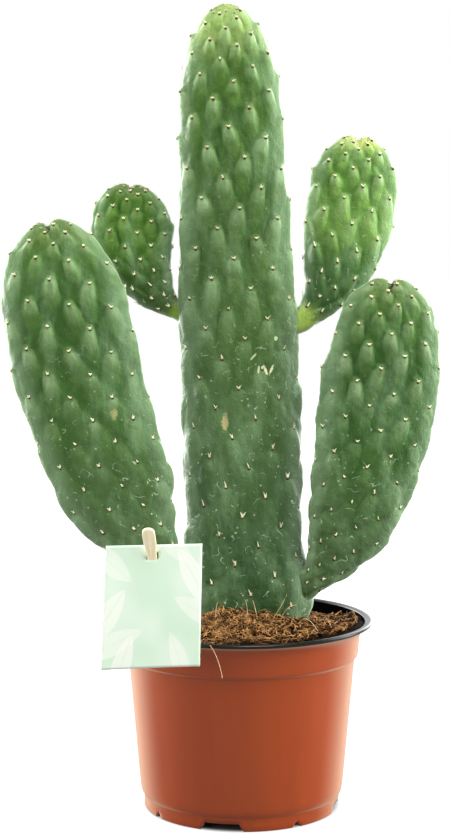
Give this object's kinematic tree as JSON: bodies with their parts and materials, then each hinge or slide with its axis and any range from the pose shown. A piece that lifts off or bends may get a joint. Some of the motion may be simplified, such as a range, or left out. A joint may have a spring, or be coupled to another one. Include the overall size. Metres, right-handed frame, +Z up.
{
  "type": "potted prickly pear cactus",
  "caption": "Upright prickly pear with flat side pads, rooted in fibrous soil in a tapered plastic nursery pot with a blank hanging label on a wooden stake.",
  "frame": {"origin": "middle of the bounding box's base, on the plane that the pot's foot stands on", "axes": "+Z up along the stem, -Y towards the side that carries the label, +X to that viewer's right"},
  "size_m": [0.2796, 0.1832, 0.519],
  "materials": {
    "pot_plastic": "satin terracotta-coloured plastic, black inside",
    "soil": "coir fibre and peat",
    "cactus_skin_old": "waxy, tubercled",
    "cactus_skin_pad": "waxy, tubercled",
    "cactus_skin_young": "waxy, tubercled",
    "stake_wood": "bare wood",
    "label_card": "printed, blank of words"
  },
  "bodies": {
    "root": {"pot": "pot_plastic", "soil": "soil", "trunk": "cactus_skin_old", "pad_lower_left": "cactus_skin_pad", "pad_lower_right": "cactus_skin_pad", "pad_upper_left": "cactus_skin_young", "pad_upper_right": "cactus_skin_young", "label_stake": "stake_wood", "label_card": "label_card"}
  },
  "joints": []
}
